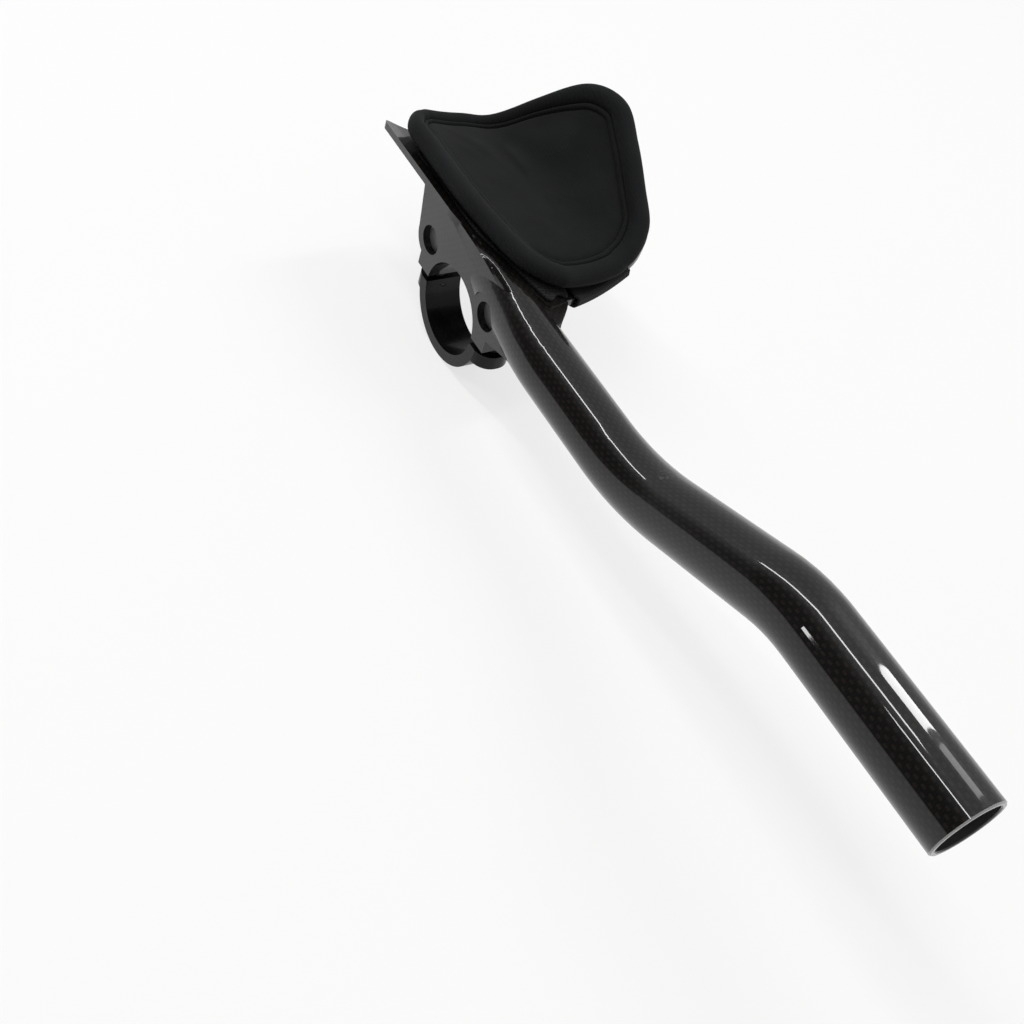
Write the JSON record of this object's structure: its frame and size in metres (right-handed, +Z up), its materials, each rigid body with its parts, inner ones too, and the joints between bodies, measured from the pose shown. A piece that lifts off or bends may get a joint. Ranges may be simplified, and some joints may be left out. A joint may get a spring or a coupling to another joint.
{
  "type": "aero handlebar extension",
  "caption": "Clip-on aero handlebar extension: a carbon S-bend tube with an integral forearm tray and clamp half, a bolted clamp cap and a strapped-on arm pad.",
  "frame": {"origin": "centre of the handlebar bore, on the clamp's mid plane", "axes": "+X forward along the extension, +Y outboard along the handlebar, +Z up"},
  "size_m": [0.2965, 0.0742, 0.0829],
  "materials": {
    "carbon_laminate": "woven carbon laminate under a glossy clear coat",
    "cap_metal": "gloss black over aluminium",
    "bolt_steel": "black oxide on steel",
    "nut_steel": "black oxide on steel",
    "hook_tape": "matt black hook tape",
    "loop_backing": "matt black loop cloth",
    "pad_knit": "matt black stretch knit over foam",
    "strap_webbing": "black twill webbing"
  },
  "bodies": {
    "root": {"extension_body": "carbon_laminate", "clamp_cap": "cap_metal", "clamp_bolts": "bolt_steel", "barrel_nuts": "nut_steel", "hook_patch": "hook_tape", "pad_base": "loop_backing", "arm_pad": "pad_knit", "pad_strap": "strap_webbing"}
  },
  "joints": []
}
